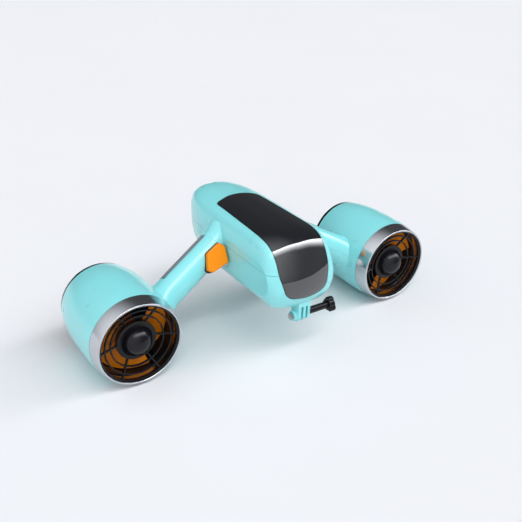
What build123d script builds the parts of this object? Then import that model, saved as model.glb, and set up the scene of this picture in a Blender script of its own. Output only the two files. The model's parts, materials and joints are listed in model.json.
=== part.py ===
from build123d import *
import math
import os

# Compact twin-thruster underwater scooter, all sizes in millimetres.
# The model is laid out about the plane of the thruster intakes (y = 0, front towards -Y) and
# the height of the thruster axes (z = 0). Every solid is then moved so that the origin is at the
# middle of the bounding box, on the ground that the two pods rest on.

# ---- driving dimensions ----
POD_X = 184.0            # thruster axis, left and right of the middle plane
POD_R = 54.0             # widest radius of a pod
WIDEST = (44.0, 66.0)    # straight stretch of the pod, on which it rests
RING_END = 16.8          # rear edge of the polished intake ring
RING_R = 52.7            # radius there
RIM_R = 49.5             # radius of the intake rim
INTAKE_R = 47.5
SHELL_START = 17.6
SHELL_END = 111.6
OUTLET_RIM_R = 47.3
POD_END = 117.0
DUCT_R = 46.2            # inside radius of the duct at the propeller
NOZZLE_R = 41.5          # inside radius of the duct at the outlet
DUCT_WALL = 1.8
DUCT_START = 17.2
TAPER_START = 50.0
PROP_R = 45.2
PROP_SPAN = (20.0, 44.0)
PROP_HUB_R = 15.0
BLADES = 3
MOTOR_SPAN = (50.0, 98.0)
MOTOR_R = 17.0
SHAFT_R = 3.0
SHAFT_FIT = 0.05         # radial running clearance
SPOKES = 6
DOME_R = 18.3
DOME_Y = 13.4
HUB_RING_Y = 12.0
HUB_RING_R = 23.6
GRILLE_RINGS = ((31.5, 8.6), (39.5, 5.4))    # radius and depth behind the rim

HULL_HALF_WIDTH = 46.0
HULL_WALL = 3.0
FRONT_Y = -53.5          # nose of the hull
REAR_Y = 180.0           # stern of the hull
HULL_TOP = 101.4
HULL_BOTTOM = 16.3
SEAM_Z = 64.2            # joint between the upper and the lower hull shell
SEAM_GAP = 0.5
COVER_GAP = 0.7          # gap round the glossy cover
COVER_HINGE_Y = 105.5
COVER_HINGE_Z = 96.4
HINGE_PIN_R = 1.2

HANDLE_R = 18.0
HANDLE_WALL = 2.6
SPAR_R = 7.0
SPAR_WALL = 1.5
HANDLE_AT_POD = Vector(-130.0, 56.0, 14.0)
HANDLE_AT_HULL = Vector(-46.0, 75.0, 60.0)
TRIGGER_TURN = 155.0     # angle of the trigger face round the handle, from the rear over the top
TRIGGER_FACE = 25.0      # distance of that face from the handle's axis
TRIGGER_BACK = 18.2
TRIGGER_GAP = 0.9
TRIGGER_TRAVEL = 8.0     # degrees that the trigger turns when it is pulled

MOUNT_Y = -41.2          # axis of the camera mount's screw
MOUNT_Z = 4.7
PRONG_R = 7.5
PRONG = 3.1              # thickness of a prong, and of the gap beside it
SCREW_R = 2.5
STEM_R = 4.3
KNOB_R = 9.5

BALL_BEARING_R = 8.0
nodes = {}


def keep(name, shape):
    nodes[name] = shape


def keep_pair(name, left_shape):
    """Keep a piece of the left side and its mirror image on the right."""
    keep("left_" + name, left_shape)
    keep("right_" + name, mirror(left_shape, Plane.YZ))


def turned(points):
    """Solid of revolution about Y from a closed outline of (radius, y) points."""
    face = make_face(Polyline(*points, close=True))
    return revolve(face, axis=Axis.Y)


def tube(outer, inner, start, end):
    return turned([(inner, start), (outer, start), (outer, end), (inner, end)])


def rod(radius, start, end):
    return turned([(0, start), (radius, start), (radius, end), (0, end)])


# ---- hull body ----
# Outline of the hull on its middle plane, as y and z.
OUTLINE = [
    (-34.0, 16.3),
    (-43.0, 18.4),
    (-49.6, 25.0),
    (-53.2, 36.0),
    (-52.6, 49.0),
    (-49.6, 60.0),
    (-45.0, 71.5),
    (-38.4, 84.0),
    (-29.1, 93.7),
    (-15.0, 99.4),
    (10.0, 101.2),
    (55.0, 101.4),
    (100.0, 101.2),
    (132.0, 100.4),
    (157.0, 98.6),
    (172.5, 93.0),
    (179.2, 81.0),
    (180.0, 65.0),
    (177.5, 49.0),
    (168.0, 34.0),
    (148.0, 22.5),
    (115.0, 17.0),
    (70.0, 16.3),
    (15.0, 16.3),
]
# Half-width station, then how far the front, the stern, the top and the bottom draw in there.
STATIONS = [
    (0.0, 0.0, 0.0, 0.0, 0.0),
    (20.0, 1.6, 5.0, 1.4, 0.4),
    (34.0, 5.0, 20.0, 5.0, 2.6),
    (41.5, 8.8, 42.0, 10.4, 8.8),
    (45.0, 12.5, 58.0, 20.0, 15.5),
    (46.0, 15.0, 72.0, 30.0, 19.5),
]
MIDDLE_Y = 20.0          # the ends draw in towards this plane
MIDDLE_Z = 62.0          # the top and the bottom draw in towards this plane
TO_ROW = Pos(0, -(FRONT_Y + REAR_Y) / 2, POD_R)


def draw_in(value, middle, low_end, high_end, low_drop, high_drop):
    """Scale a coordinate towards the middle so that its end moves by the drop."""
    if value < middle:
        return value + low_drop * (middle - value) / (middle - low_end)
    return value - high_drop * (value - middle) / (high_end - middle)


def hull_section(x, drops, inset):
    front, stern, top, bottom = drops
    points = []
    for y, z in OUTLINE:
        y = draw_in(y, MIDDLE_Y, FRONT_Y, REAR_Y, front, stern)
        z = draw_in(z, MIDDLE_Z, HULL_BOTTOM, HULL_TOP, bottom, top)
        points.append(Vector(x, y, z))
    count = len(points)
    moved = []
    for i, point in enumerate(points):
        along = (points[(i + 1) % count] - points[i - 1]).normalized()
        moved.append(point + along.cross(Vector(1, 0, 0)) * inset)
    return Wire([Spline(*moved, periodic=True)])


def hull_body(inset=0.0):
    shrink = 1 - inset / HULL_HALF_WIDTH
    left = [(-x, drops) for x, *drops in STATIONS[:0:-1]]
    right = [(x, drops) for x, *drops in STATIONS]
    return Solid.make_loft([hull_section(x * shrink, drops, inset) for x, drops in left + right])


def cover_region(grow=0.0):
    """Space, open to the outside, whose outline on the hull is that of the glossy cover."""
    plan_points = [(-34.6, -90), (-34.6, -14), (-30.0, 102), (0, 109.5),
                   (30.0, 102), (34.6, -14), (34.6, -90)]
    plan = make_face(FilletPolyline(*plan_points, radius=[0, 60, 7, 40, 7, 60, 0], close=True))
    front_points = [(-35, 130), (-33.6, 62), (-27, 36), (0, 31.5), (27, 36), (33.6, 62), (35, 130)]
    front = make_face(FilletPolyline(*front_points, radius=[0, 30, 14, 60, 14, 30, 0], close=True))
    if grow:
        plan = offset(plan, amount=grow, kind=Kind.INTERSECTION)
        front = offset(front, amount=grow, kind=Kind.INTERSECTION)
    plan_prism = extrude(plan, 160)
    front_prism = extrude(Plane.XZ.offset(120) * front, -300)
    return plan_prism & front_prism


def slab(low_z, high_z):
    return Pos(0, 60, (low_z + high_z) / 2) * Box(140, 320, high_z - low_z)


def block(low, high):
    size = [b - a for a, b in zip(low, high)]
    middle = [(a + b) / 2 for a, b in zip(low, high)]
    return Pos(*middle) * Box(*size)


# ---- pods ----
def pod_outline():
    """Half profile of the whole pod, from the intake rim to the outlet rim."""
    nose = Line((0, 0), (RIM_R, 0))
    ring = ThreePointArc((RIM_R, 0), (51.3, 7.5), (RING_R, RING_END))
    front = ThreePointArc((RING_R, RING_END), (53.68, 30), (POD_R, WIDEST[0]))
    flat = Line((POD_R, WIDEST[0]), (POD_R, WIDEST[1]))
    back = TangentArc((POD_R, WIDEST[1]), (OUTLET_RIM_R, POD_END), tangent=(0, 1))
    tail = Line((OUTLET_RIM_R, POD_END), (0, POD_END))
    return make_face(Curve() + [nose, ring, front, flat, back, tail, Line((0, POD_END), (0, 0))])


def pod_body():
    return revolve(pod_outline(), axis=Axis.Y)


def inner_pod():
    """Space inside the pod's casing."""
    points = [(0, SHELL_START - 5), (50.2, SHELL_START - 5), (50.2, SHELL_START), (51.4, 40),
              (51.4, 68), (50.2, 88), (45.6, SHELL_END + 1), (0, SHELL_END + 1)]
    return turned(points)


def duct_outline(grow):
    return [(DUCT_R + grow, DUCT_START), (DUCT_R + grow, TAPER_START),
            (NOZZLE_R + grow, SHELL_END)]


def duct():
    inside = duct_outline(0)
    outside = duct_outline(DUCT_WALL)
    wall = turned(inside + outside[::-1])
    flange = tube(50.1, DUCT_R + 1, DUCT_START, DUCT_START + 2.5)
    return wall + (flange & inner_pod())


def radial_bar(inner, inner_y, outer, outer_y, width, depth):
    """Bar in the XY plane from one radius to another, for a grille spoke."""
    points = [(inner, inner_y), (outer, outer_y), (outer, outer_y + depth),
              (inner, inner_y + depth)]
    face = make_face(Polyline(*points, close=True))
    return extrude(face, width / 2, both=True)


def ring_of(shape, count):
    return [Rot(0, 360 / count * i, 0) * shape for i in range(count)]


def front_grille():
    rim = turned([(45.2, 2.6), (47.4, 1.6), (47.4, 6.5), (45.2, 6.5)])
    hub = turned([(0, 13.4), (19.7, 13.4), (19.7, 10.6), (HUB_RING_R, 11.0),
                  (HUB_RING_R, 16.4), (0, 16.4)])
    bead = tube(19.75, 18.6, 9.6, 13.5)
    spoke = radial_bar(22.0, HUB_RING_Y - 0.4, 46.0, 2.8, 1.9, 2.6)
    body = rim + hub + bead
    for piece in ring_of(spoke, SPOKES):
        body += piece
    for radius, y in GRILLE_RINGS:
        body += tube(radius + 0.8, radius - 0.8, y, y + 2.4)
    return body


def nose_dome():
    ball = Pos(0, DOME_Y, 0) * Sphere(DOME_R)
    return ball & rod(DOME_R, -10, 13.3)


def propeller():
    start, end = PROP_SPAN
    hub_front = ThreePointArc((0, start - 2.4), (9, start - 1.2), (PROP_HUB_R, start + 3))
    hub_edges = [hub_front, Line((PROP_HUB_R, start + 3), (PROP_HUB_R, end)),
                 Line((PROP_HUB_R, end), (0, end)), Line((0, end), (0, start - 2.4))]
    body = revolve(make_face(Curve() + hub_edges), axis=Axis.Y)
    sections = []
    steps = 6
    sweep_angle = 104.0
    low, high = start + 2, end - 2
    for i in range(steps + 1):
        share = i / steps
        thick = 3.5 + 3.0 * math.sin(math.pi * share)
        reach = 46.5
        wedge = [(math.cos(math.radians(a)) * r, -math.sin(math.radians(a)) * r)
                 for r, a in ((13, -thick), (reach, -thick * 0.55), (reach, thick * 0.55), (13, thick))]
        y = low + (high - low) * share
        turn = Rot(0, sweep_angle * (share - 0.5), 0)
        wire = Polyline(*[(x, y, z) for x, z in wedge], close=True)
        sections.append(turn * Wire(wire.edges()))
    blade = Solid.make_loft(sections)
    blade = blade & rod(PROP_R, 0, 80)
    for piece in ring_of(blade, BLADES):
        body += piece
    return body - rod(SHAFT_R, start + 6, end + 1)


def motor_shaft():
    return rod(SHAFT_R, PROP_SPAN[0] + 6, MOTOR_SPAN[1] - 4.6)


def motor_rotor():
    return tube(9.6, SHAFT_R, 60, 88)


def bearings():
    front = tube(BALL_BEARING_R, SHAFT_R + SHAFT_FIT, 51.6, 57)
    back = tube(BALL_BEARING_R, SHAFT_R + SHAFT_FIT, 88.6, 93.6)
    return Compound([*front.solids(), *back.solids()])


def motor_can():
    start, end = MOTOR_SPAN
    can = tube(MOTOR_R, 15.4, start, end - 6)
    front = tube(MOTOR_R, SHAFT_R + 0.5, start, start + 1.6)
    front_seat = tube(MOTOR_R, BALL_BEARING_R, start + 1.6, start + 7)
    cone_edges = [ThreePointArc((MOTOR_R, end - 6), (13.0, end + 6), (0, end + 11)),
                  Line((0, end + 11), (0, end - 4)), Line((0, end - 4), (SHAFT_R + 0.5, end - 4)),
                  Line((SHAFT_R + 0.5, end - 4), (BALL_BEARING_R, end - 4.4)),
                  Line((BALL_BEARING_R, end - 4.4), (BALL_BEARING_R, end - 9.4)),
                  Line((BALL_BEARING_R, end - 9.4), (MOTOR_R, end - 9.4)),
                  Line((MOTOR_R, end - 9.4), (MOTOR_R, end - 6))]
    cone = revolve(make_face(Curve() + cone_edges), axis=Axis.Y)
    return can + front + front_seat + cone


def stator_frame():
    sleeve = tube(19.2, MOTOR_R, 56, 90)
    vane_face = make_face(Polyline((18.4, 60), (52, 58), (52, 84), (18.4, 88), close=True))
    vane = extrude(vane_face, 1.0, both=True)
    body = sleeve
    for piece in ring_of(vane, 5):
        body += piece
    inside = turned([(0, DUCT_START)] + duct_outline(-0.02) + [(0, SHELL_END)])
    return (body & inside) - rod(MOTOR_R, 40, 110)


def rear_grille():
    outer = turned([(38.9, 108.0), (NOZZLE_R + 0.2, 107.0), (NOZZLE_R - 0.1, 112.6), (38.9, 112.6)])
    body = outer & turned([(0, DUCT_START)] + duct_outline(-0.02) + [(0, SHELL_END)])
    for radius in (13.0, 21.5, 30.0):
        body += tube(radius + 0.9, radius - 0.9, 109.6, 112.2)
    spoke = radial_bar(12.4, 109.6, 40.2, 109.0, 1.8, 2.8)
    for piece in ring_of(spoke, SPOKES):
        body += piece
    return body


def pod_screws():
    screw = Rot(0, 30, 0) * (Pos(44.4, 0, 0) * rod(1.4, 113.2, 114.9))
    return Compound([piece.solids()[0] for piece in ring_of(screw, SPOKES)])


def rear_ring():
    ring = pod_body() & tube(60, NOZZLE_R + 0.6, SHELL_END + 0.3, POD_END)
    for piece in ring_of(Rot(0, 30, 0) * (Pos(44.4, 0, 0) * rod(1.4, 113.2, 120)), SPOKES):
        ring -= piece
    return ring


# ---- handles ----
handle_axis = (HANDLE_AT_HULL - HANDLE_AT_POD).normalized()
handle_length = (HANDLE_AT_HULL - HANDLE_AT_POD).length


def handle_plane(turn):
    """Plane along the handle whose normal is turned round it, from the rear over the top."""
    rear = (Vector(0, 1, 0) - handle_axis * handle_axis.Y).normalized()
    over = handle_axis.cross(rear)
    if over.Z < 0:
        over = -over
    angle = math.radians(turn)
    normal = rear * math.cos(angle) + over * math.sin(angle)
    return Plane(origin=HANDLE_AT_POD, x_dir=handle_axis, z_dir=normal)


def handle_body(inset=0.0):
    radius = HANDLE_R - inset
    start, end = -18.0, handle_length + 14
    pod_flare = Spline((start, radius + 10), (-6, radius + 3.6), (10, radius),
                       tangents=[(1, -0.8), (1, 0)])
    straight = Line((10, radius), (handle_length - 14, radius))
    hull_flare = Spline((handle_length - 14, radius), (handle_length, radius + 1.4),
                        (end, radius + 6), tangents=[(1, 0), (1, 0.5)])
    edges = [pod_flare, straight, hull_flare, Line((end, radius + 6), (end, 0)),
             Line((end, 0), (start, 0)), Line((start, 0), (start, radius + 10))]
    solid = revolve(make_face(Curve() + edges), axis=Axis.X)
    return handle_plane(90).location * solid


def along_handle(radius, start, end):
    solid = Pos((start + end) / 2, 0, 0) * Rot(0, 90, 0) * Cylinder(radius, end - start)
    return handle_plane(90).location * solid


def sector(low, high, inner, outer, start, end):
    """Piece of a thick tube round the handle, between two angles from the rear over the top."""
    body = along_handle(outer, start, end) - along_handle(inner, start - 1, end + 1)
    reach = 60
    points = [(0, 0)]
    steps = 6
    for i in range(steps + 1):
        angle = math.radians(low + (high - low) * i / steps)
        points.append((math.cos(angle) * reach, math.sin(angle) * reach))
    wedge = extrude(make_face(Polyline(*points, close=True)), end + 40)
    over = handle_plane(90).z_dir
    rear = handle_plane(0).z_dir
    frame = Plane(origin=HANDLE_AT_POD - handle_axis * 20, x_dir=rear, z_dir=rear.cross(over))
    if rear.cross(over).dot(handle_axis) < 0:
        frame = Plane(origin=HANDLE_AT_POD + handle_axis * (end + 20), x_dir=rear,
                      z_dir=rear.cross(over))
    return body & (frame.location * wedge)


TRIGGER_OUTLINE = [(70.5, 3.6), (91.2, 2.6), (93.2, -6.0), (83.4, -22.4), (75.6, -20.6),
                   (60.5, -17.4), (57.6, -11.0)]


def trigger_prism(low, high, grow=0.0, corner=2.0):
    face = make_face(FilletPolyline(*TRIGGER_OUTLINE, radius=corner, close=True))
    if grow:
        face = offset(face, amount=grow, kind=Kind.INTERSECTION)
    return handle_plane(TRIGGER_TURN).location * (Pos(0, 0, low) * extrude(face, high - low))


def trigger():
    """Paddle with two lugs that turn on the pin inside the handle."""
    paddle = trigger_prism(TRIGGER_BACK, TRIGGER_FACE)
    paddle = fillet(paddle.edges().filter_by(lambda e: on_face(e, TRIGGER_FACE)), 1.4)
    body = paddle
    for start in TRIGGER_LUGS:
        lug = Pos(start + 3, PIN_AT[0], 14.2) * Box(6, 4.6, 10)
        body += handle_plane(TRIGGER_TURN).location * lug
    return body - pin_rod(PIN_R + 0.05, 50, 110)


def trigger_boot():
    """Border of dark rubber under the paddle, cut low enough for the paddle's travel."""
    border = trigger_prism(8, TRIGGER_BACK - 0.6, TRIGGER_GAP - 0.1)
    border = border - trigger_prism(6, 30, -1.2)
    across, out = PIN_AT
    swing = Pos(80, across, out) * Rot(TRIGGER_TRAVEL, 0, 0)
    room = swing * (Pos(0, 0, TRIGGER_BACK - out - 0.6 + 30) * Box(100, 100, 60))
    return border - (handle_plane(TRIGGER_TURN).location * room)


def on_face(edge, height):
    frame = handle_plane(TRIGGER_TURN)
    return abs(frame.to_local_coords(edge.center()).Z - height) < 0.01


def pin_rod(radius, start, end):
    solid = Pos((start + end) / 2, PIN_AT[0], PIN_AT[1]) * Rot(0, 90, 0) * Cylinder(radius, end - start)
    return handle_plane(TRIGGER_TURN).location * solid


PIN_R = 1.5
PIN_AT = (-1.0, 11.5)         # pin centre in the trigger's plane: across, and out from the axis
TRIGGER_LUGS = (73.0, 84.0)
BRACKETS = (64.5, 92.0)
GRIP_TURN = (-60.0, 88.0)
GRIP_SPAN = (16.0, 90.0)
GRIP_INNER = 16.6
GRIP_OUTER = 18.3


def build_pods():
    shell = (pod_body() - inner_pod()) & tube(70, 30, SHELL_START, SHELL_END)
    ring = pod_body() & tube(60, INTAKE_R, -1, RING_END)
    ring = fillet(ring.edges().filter_by(lambda e: e.center().Y < 0.01), 0.9)
    pieces = {
        "pod_shell": shell,
        "intake_ring": ring,
        "duct_liner": duct(),
        "intake_grille": front_grille(),
        "nose_dome": nose_dome(),
        "propeller": propeller(),
        "propeller_shaft": motor_shaft(),
        "motor_rotor": motor_rotor(),
        "bearings": bearings(),
        "motor_can": motor_can(),
        "stator_frame": stator_frame(),
        "outlet_grille": rear_grille(),
        "outlet_ring": rear_ring(),
        "outlet_screws": pod_screws(),
    }
    for name, shape in pieces.items():
        keep_pair(name, Pos(-POD_X, 0, 0) * shape)


def build_handles(hull):
    pod = Pos(-POD_X, 0, 0) * pod_body()
    shell = handle_body() - handle_body(HANDLE_WALL)
    grip = sector(*GRIP_TURN, GRIP_INNER, GRIP_OUTER, *GRIP_SPAN)
    corners = grip.edges().filter_by(lambda e: abs(e.length - GRIP_OUTER + GRIP_INNER) < 0.01)
    grip = fillet(corners, 7)
    shell = shell - sector(*GRIP_TURN, GRIP_INNER - 0.05, 30, *GRIP_SPAN)
    seat = along_handle(GRIP_INNER - 0.05, GRIP_SPAN[0] - 4, GRIP_SPAN[1] + 4)
    seat = seat - along_handle(HANDLE_R - HANDLE_WALL - 1.4, 0, 100)
    shell = shell + seat - hull - pod
    shell = shell - trigger_prism(8, 34, TRIGGER_GAP)
    over = handle_plane(90).location
    upper = shell & (over * (Pos(40, 0, 50.1) * Box(300, 200, 100)))
    lower = shell & (over * (Pos(40, 0, -50.1) * Box(300, 200, 100)))
    keep_pair("handle_upper_shell", upper)
    keep_pair("handle_lower_shell", lower)
    keep_pair("grip", grip)
    spar = along_handle(SPAR_R, -8, handle_length + 10) - along_handle(SPAR_R - SPAR_WALL, -9, 150)
    keep_pair("handle_spar", spar - pod)
    keep_pair("trigger", trigger())
    keep_pair("trigger_boot", trigger_boot() - handle_body(HANDLE_WALL + 1.4) - hull)
    brackets = []
    for start in BRACKETS:
        plate = along_handle(13.8, start, start + 2.5) - along_handle(SPAR_R, start - 1, start + 4)
        brackets.append(plate - pin_rod(PIN_R, 50, 110) - hull)
    keep_pair("trigger_brackets", Compound([plate.solids()[0] for plate in brackets]))
    keep_pair("trigger_pin", pin_rod(PIN_R, BRACKETS[0], BRACKETS[1] + 2.5))
    coil_start = TRIGGER_LUGS[0] + 6.5
    turns = []
    for i in range(3):
        turns.append(pin_rod(2.9, coil_start + 1.4 * i, coil_start + 1.4 * i + 1.2)
                     - pin_rod(PIN_R + 0.2, coil_start - 1, coil_start + 20))
    keep_pair("trigger_spring", Compound([turn.solids()[0] for turn in turns]))


def build_hull(hull):
    inside = hull_body(HULL_WALL)
    shell = hull - inside
    opening = cover_region(COVER_GAP)
    keep("cover", shell & cover_region())
    shell = shell - opening
    for side in (0, 1):
        hole = along_handle(SPAR_R, 60, 140)
        shell = shell - (mirror(hole, Plane.YZ) if side else hole)
    button_hole = Pos(0, 0, BUTTON_Z) * rod(BUTTON_R + 0.4, 150, 200)
    upper = (shell & slab(SEAM_Z + SEAM_GAP / 2, 130)) - button_hole
    lower = shell & slab(-10, SEAM_Z - SEAM_GAP / 2)
    screws = []
    for x, y, z in SCREWS:
        screw = Pos(x, y, z + 2) * Cylinder(2.6, 4)
        screws.append(screw - Pos(x, y, z) * extrude(RegularPolygon(1.3, 6), 2))
        lower = lower - (Pos(x, y, 25) * Cylinder(2.8, 30))
    keep("hull_screws", Compound([screw.solids()[0] for screw in screws]))
    keep("upper_hull_shell", upper)
    keep("lower_hull_shell", lower)

    frame = Pos(0, 55, 84.5) * Box(62, 112, 3) - Pos(0, 55, 84.5) * Box(50, 98, 5)
    keep("battery_frame", frame)
    keep("battery_pack", fillet((Pos(0, 55, 56) * Box(54, 104, 50)).edges(), 4))
    tray = Pos(0, 55, 29) * Box(60, 110, 12) - Pos(0, 55, 36) * Box(56, 106, 20)
    keep("battery_tray", tray)
    keep("control_board", Pos(0, 136, 50) * Box(56, 36, 2))

    cap = Pos(0, 0, BUTTON_Z) * rod(BUTTON_R, 168, REAR_Y + 1.2)
    cap = fillet(cap.edges().sort_by(Axis.Y)[-1:], 1.0)
    keep("power_button", cap)
    eye = Pos(0, REAR_Y - 10, 30) * Rot(0, 90, 0) * Cylinder(8, 5)
    eye += Pos(0, REAR_Y - 16, 36) * Box(5, 14, 14)
    eye = eye - clear_of_hull - Pos(0, REAR_Y - 8, 28) * Rot(0, 90, 0) * Cylinder(EYE_R, 20)
    keep("tether_eye", sorted(eye.solids(), key=lambda solid: solid.volume)[-1])


def build_camera_mount(hull):
    across = Rot(0, 90, 0)
    profile = make_face(Polyline((MOUNT_Y - PRONG_R, MOUNT_Z), (MOUNT_Y - PRONG_R, 22),
                                 (MOUNT_Y + 16, 22), (MOUNT_Y + PRONG_R, 12),
                                 (MOUNT_Y + PRONG_R, MOUNT_Z), close=True))
    profile += Pos(MOUNT_Y, MOUNT_Z) * Circle(PRONG_R)
    prongs = []
    for low, high in ((-8.4, -1.5 * PRONG), (-0.5 * PRONG, 0.5 * PRONG), (1.5 * PRONG, 2.5 * PRONG)):
        prongs.append(Plane.YZ.offset(low) * extrude(profile, high - low))
    boss = Pos(-10, MOUNT_Y, MOUNT_Z) * across * Cylinder(6.4, 4.2)
    base = block((-8.4, MOUNT_Y - PRONG_R, 17.2), (2.5 * PRONG, MOUNT_Y + 13, 24))
    body = boss + base
    for prong in prongs:
        body += prong
    body = body - hull - Pos(0, MOUNT_Y, MOUNT_Z) * across * Cylinder(SCREW_R + 0.05, 60)
    keep("camera_mount", sorted(body.solids(), key=lambda solid: solid.volume)[-1])
    nut = Plane.YZ.offset(-15.2) * (Pos(MOUNT_Y, MOUNT_Z) * extrude(RegularPolygon(4.6, 6), 3.1))
    nut = nut - Pos(0, MOUNT_Y, MOUNT_Z) * across * Cylinder(SCREW_R + 0.05, 60)
    keep("mount_nut", nut)
    screw = Pos((-15.6 + 38) / 2, MOUNT_Y, MOUNT_Z) * across * Cylinder(SCREW_R, 53.6)
    keep("thumb_screw", screw)
    stem = Pos((8.1 + 38) / 2, MOUNT_Y, MOUNT_Z) * across * Cylinder(STEM_R, 38 - 8.1)
    star = Circle(KNOB_R - 2)
    for i in range(3):
        angle = math.radians(90 + 120 * i)
        star += Pos(math.cos(angle) * 5.2, math.sin(angle) * 5.2) * Circle(KNOB_R - 5)
    knob = Plane.YZ.offset(38) * (Pos(MOUNT_Y, MOUNT_Z) * extrude(star, 8))
    knob = fillet(knob.edges().filter_by(Plane.YZ), 1.2)
    knob = stem + knob - screw
    keep("thumb_knob", knob)


BUTTON_R = 6.0
BUTTON_Z = 72.0
EYE_R = 3.0
SCREWS = ((-26, 0, 18.3), (26, 0, 18.3), (-28, 65, 18.5), (28, 65, 18.5),
          (-24, 128, 20.4), (24, 128, 20.4))

hull_solid = hull_body()
clear_of_hull = hull_body(-0.1)
build_hull(hull_solid)
build_camera_mount(clear_of_hull)
build_handles(clear_of_hull)
build_pods()

os.makedirs("parts", exist_ok=True)
for name, shape in nodes.items():
    export_step(TO_ROW * shape, "parts/" + name + ".step")
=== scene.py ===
import bpy
import bmesh
import json
from mathutils import Vector, Matrix

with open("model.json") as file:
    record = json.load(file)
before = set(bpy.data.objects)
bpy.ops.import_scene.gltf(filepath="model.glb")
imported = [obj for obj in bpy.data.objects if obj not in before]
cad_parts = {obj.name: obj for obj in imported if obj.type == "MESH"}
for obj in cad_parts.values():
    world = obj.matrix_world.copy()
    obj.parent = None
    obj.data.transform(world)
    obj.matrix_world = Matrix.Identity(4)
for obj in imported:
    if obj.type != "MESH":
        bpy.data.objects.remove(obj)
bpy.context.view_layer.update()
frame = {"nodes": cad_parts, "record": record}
NODES = frame["nodes"]

# ---- camera, in metres and millimetres ----
CAMERA_PLACE = (-0.461009, -0.706541, 0.517368)
CAMERA_RIGHT = (0.83705614, -0.54662046, 0.02330456)
CAMERA_UP = (0.23402654, 0.39622336, 0.88782804)
CAMERA_BACK = (-0.49453878, -0.73770802, 0.45958489)
LENS = 52.23
SENSOR = 36.0
CLIP = (0.02, 60)

# ---- brightness of each light ----
KEY = 11.9               # soft box ahead and above
FILL = 1.1               # pale left side
OVERHEAD = 1.0           # lamp over the floor, in watts
SKY_TINT = (0.972, 0.984, 1.02, 1)

# ---- directions of the lights, from the object ----
BOX_EDGE = (0, 0.765, 0.644)      # normal of the plane in which the soft box ends
BOX_END = (0.262, 0.280)          # where it fades out, along that normal
BOX_GLOW = (-0.12, 0.27)          # where it grows from dim to full, along that normal
BOX_MIDDLE = (0.45, -0.62, 0.64)
BOX_REACH = (0.45, 0.85)
FILL_MIDDLE = (-0.80, -0.35, 0.48)
FILL_REACH = (-0.1, 0.95)
DIM = 0.12               # soft box's tone at its dim end
REAR_TONE = 0.07         # tone of the side away from the fill

OVERHEAD_PLACE = (0.0, 0.6, 6.0)
OVERHEAD_SIZE = 12.0
FLOOR_HALF = 14

# ---- surface detail ----
NOISE_ROUGHNESS = 0.55
DRIFT_DETAIL = 3.0
GLOSS_DETAIL = 5.0
GRAIN_DETAIL = 2.0
GLOSS_TO_DRIFT = 3.1     # how much finer the uneven gloss is than the colour drift
LOW, HIGH = 0.3, 0.7     # stretch of the noise over which a value changes
RUBBER_DOTS = 620
RUBBER_DEPTH = 0.0002


def make_camera():
    data = bpy.data.cameras.new("camera")
    data.lens = LENS
    data.sensor_width = SENSOR
    data.clip_start, data.clip_end = CLIP
    cam = bpy.data.objects.new("camera", data)
    bpy.context.scene.collection.objects.link(cam)
    axes = [Vector(axis) for axis in (CAMERA_RIGHT, CAMERA_UP, CAMERA_BACK)]
    place = Matrix(axes).transposed().to_4x4()
    place.translation = Vector(CAMERA_PLACE)
    cam.matrix_world = place
    bpy.context.scene.camera = cam


# ---- materials ----
class Shade:
    """One node material, built step by step."""

    def __init__(self, name):
        self.mat = bpy.data.materials.new(name)
        self.mat.use_nodes = True
        self.tree = self.mat.node_tree
        self.bsdf = self.tree.nodes["Principled BSDF"]
        self.place = self.node("ShaderNodeTexCoord").outputs["Object"]

    def node(self, kind):
        return self.tree.nodes.new(kind)

    def link(self, a, b):
        self.tree.links.new(a, b)

    def noise(self, scale, detail):
        made = self.node("ShaderNodeTexNoise")
        made.inputs["Scale"].default_value = scale
        made.inputs["Detail"].default_value = detail
        made.inputs["Roughness"].default_value = NOISE_ROUGHNESS
        self.link(self.place, made.inputs["Vector"])
        return made.outputs["Fac"]

    def ramp(self, factor, stops):
        made = self.node("ShaderNodeValToRGB")
        for element, (at, color) in zip(made.color_ramp.elements, stops):
            element.position = at
            element.color = (*color, 1)
        self.link(factor, made.inputs["Fac"])
        return made.outputs["Color"]

    def roughness(self, factor, low, high):
        made = self.node("ShaderNodeMapRange")
        made.inputs["From Min"].default_value = LOW
        made.inputs["From Max"].default_value = HIGH
        made.inputs["To Min"].default_value = low
        made.inputs["To Max"].default_value = high
        self.link(factor, made.inputs["Value"])
        self.link(made.outputs["Result"], self.bsdf.inputs["Roughness"])

    def bump(self, height, strength, distance):
        made = self.node("ShaderNodeBump")
        made.inputs["Strength"].default_value = strength
        made.inputs["Distance"].default_value = distance
        self.link(height, made.inputs["Height"])
        self.link(made.outputs["Normal"], self.bsdf.inputs["Normal"])

    def set(self, **values):
        for key, value in values.items():
            self.bsdf.inputs[key.replace("_", " ")].default_value = value


def moulded(name, dark, light, rough, grain=900.0, depth=0.00002, coat=0.0, coat_rough=0.1,
            mottle=7.0, strength=0.25):
    """Moulded plastic or lacquer: slight colour drift, uneven gloss, fine moulded grain."""
    shade = Shade(name)
    drift = shade.noise(mottle, DRIFT_DETAIL)
    color = shade.ramp(drift, [(LOW, dark), (HIGH, light)])
    shade.link(color, shade.bsdf.inputs["Base Color"])
    shade.roughness(shade.noise(mottle * GLOSS_TO_DRIFT, GLOSS_DETAIL), *rough)
    shade.bump(shade.noise(grain, GRAIN_DETAIL), strength, depth)
    shade.set(Coat_Weight=coat, Coat_Roughness=coat_rough)
    return shade


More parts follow.
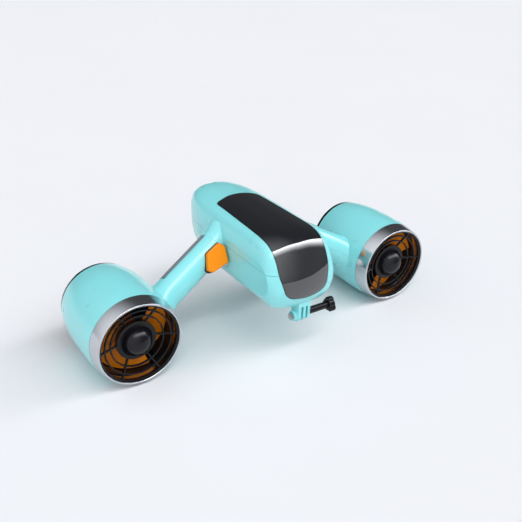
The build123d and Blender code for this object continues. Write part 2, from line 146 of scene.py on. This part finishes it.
def make_materials():
    made = {}
    made["aqua_shell"] = moulded("aqua_shell", (0.236, 0.700, 0.715), (0.243, 0.712, 0.728),
                                 (0.26, 0.32), coat=0.5, coat_rough=0.14).mat
    ring = moulded("polished_ring", (0.55, 0.57, 0.60), (0.66, 0.68, 0.71), (0.16, 0.24),
                   grain=1500, strength=0.08)
    ring.set(Metallic=1.0)
    made["polished_ring"] = ring.mat
    gloss = moulded("black_gloss", (0.006, 0.007, 0.010), (0.009, 0.010, 0.014), (0.05, 0.09),
                    strength=0.03, coat=1.0, coat_rough=0.03)
    gloss.set(Specular_IOR_Level=0.7, Coat_IOR=1.75)
    made["black_gloss"] = gloss.mat
    dome = moulded("black_dome", (0.004, 0.004, 0.006), (0.006, 0.006, 0.008), (0.20, 0.25),
                   strength=0.03)
    dome.set(Specular_IOR_Level=0.3)
    made["black_dome"] = dome.mat
    plastic = moulded("black_plastic", (0.004, 0.004, 0.005), (0.008, 0.008, 0.009),
                      (0.16, 0.26), grain=1400, strength=0.15)
    plastic.set(Specular_IOR_Level=0.25)
    made["black_plastic"] = plastic.mat
    orange = moulded("orange_plastic", (0.90, 0.245, 0.0), (0.96, 0.275, 0.0), (0.38, 0.46))
    orange.set(Specular_IOR_Level=0.25)
    made["orange_plastic"] = orange.mat
    rubber = moulded("grey_rubber", (0.170, 0.205, 0.225), (0.205, 0.240, 0.262), (0.55, 0.70),
                     grain=1300, strength=0.5, depth=0.00006)
    dots = rubber.node("ShaderNodeTexVoronoi")
    dots.inputs["Scale"].default_value = RUBBER_DOTS
    rubber.link(rubber.place, dots.inputs["Vector"])
    rubber.bump(dots.outputs["Distance"], 0.7, RUBBER_DEPTH)
    made["grey_rubber"] = rubber.mat
    made["black_rubber"] = moulded("black_rubber", (0.008, 0.008, 0.008), (0.014, 0.014, 0.014),
                                   (0.6, 0.75)).mat
    made["dark_case"] = moulded("dark_case", (0.03, 0.033, 0.036), (0.045, 0.05, 0.055),
                                (0.4, 0.5)).mat
    made["circuit_board"] = moulded("circuit_board", (0.01, 0.10, 0.04), (0.015, 0.14, 0.06),
                                    (0.25, 0.35)).mat
    for name, tone, rough in (("steel", 0.55, (0.2, 0.3)), ("aluminium_tube", 0.7, (0.3, 0.4))):
        metal = moulded(name, (tone * 0.9,) * 3, (tone, tone, tone * 1.02), rough, grain=1200,
                        strength=0.12)
        metal.set(Metallic=1.0)
        made[name] = metal.mat
    return made


def dress(materials):
    slots = {part["node"]: part["material_slot"] for part in frame["record"]["subparts"]}
    for name, obj in NODES.items():
        material = materials["black_dome" if name.endswith("nose_dome") else slots[name]]
        if not obj.data.materials:
            obj.data.materials.append(material)
        for i in range(len(obj.data.materials)):
            obj.data.materials[i] = material


# ---- floor and light ----
def make_floor():
    mesh = bpy.data.meshes.new("floor")
    work = bmesh.new()
    bmesh.ops.create_grid(work, x_segments=1, y_segments=1, size=FLOOR_HALF)
    work.to_mesh(mesh)
    work.free()
    floor = bpy.data.objects.new("floor", mesh)
    bpy.context.scene.collection.objects.link(floor)
    shade = moulded("floor_paper", (0.752, 0.757, 0.768), (0.762, 0.767, 0.778), (0.85, 0.9),
                    mottle=2.0, strength=0.05)
    mesh.materials.append(shade.mat)


def make_overhead():
    """Square lamp that shines straight down."""
    data = bpy.data.lights.new("overhead", "AREA")
    data.shape = "RECTANGLE"
    data.size = data.size_y = OVERHEAD_SIZE
    data.energy = OVERHEAD
    light = bpy.data.objects.new("overhead", data)
    bpy.context.scene.collection.objects.link(light)
    light.location = OVERHEAD_PLACE


class Sky:
    """The studio's surroundings, as brightness by direction."""

    def __init__(self):
        world = bpy.data.worlds.new("studio")
        bpy.context.scene.world = world
        world.use_nodes = True
        self.tree = world.node_tree
        self.back = self.tree.nodes["Background"]
        self.look = self.tree.nodes.new("ShaderNodeTexCoord").outputs["Generated"]

    def toward(self, direction, reach, low_tone, high_tone, fade="SMOOTHSTEP"):
        """Tone that changes over a reach of the cosine between the view and a direction."""
        dot = self.tree.nodes.new("ShaderNodeVectorMath")
        dot.operation = "DOT_PRODUCT"
        dot.inputs[1].default_value = Vector(direction).normalized()
        self.tree.links.new(self.look, dot.inputs[0])
        made = self.tree.nodes.new("ShaderNodeMapRange")
        made.interpolation_type = fade
        made.inputs["From Min"].default_value = reach[0]
        made.inputs["From Max"].default_value = reach[1]
        made.inputs["To Min"].default_value = low_tone
        made.inputs["To Max"].default_value = high_tone
        self.tree.links.new(dot.outputs["Value"], made.inputs["Value"])
        return made.outputs["Result"]

    def math(self, kind, a, b):
        made = self.tree.nodes.new("ShaderNodeMath")
        made.operation = kind
        self.tree.links.new(a, made.inputs[0])
        self.tree.links.new(b, made.inputs[1])
        return made.outputs["Value"]


def make_light():
    """A large soft box ahead and above with one straight edge, a pale left side, a dim rear."""
    sky = Sky()
    glow = sky.toward(BOX_EDGE, BOX_GLOW, DIM, 1.0, "LINEAR")
    cut = sky.toward(BOX_EDGE, BOX_END, 1.0, 0.0)
    window = sky.toward(BOX_MIDDLE, BOX_REACH, 0.0, KEY)
    glow = sky.math("MULTIPLY", glow, glow)
    key = sky.math("MULTIPLY", sky.math("MULTIPLY", glow, cut), window)
    left = sky.toward(FILL_MIDDLE, FILL_REACH, REAR_TONE, FILL)
    total = sky.math("ADD", key, left)
    sky.back.inputs["Color"].default_value = SKY_TINT
    sky.tree.links.new(total, sky.back.inputs["Strength"])
    make_overhead()
    bpy.context.scene.view_settings.view_transform = "Standard"


make_camera()
dress(make_materials())
make_floor()
make_light()
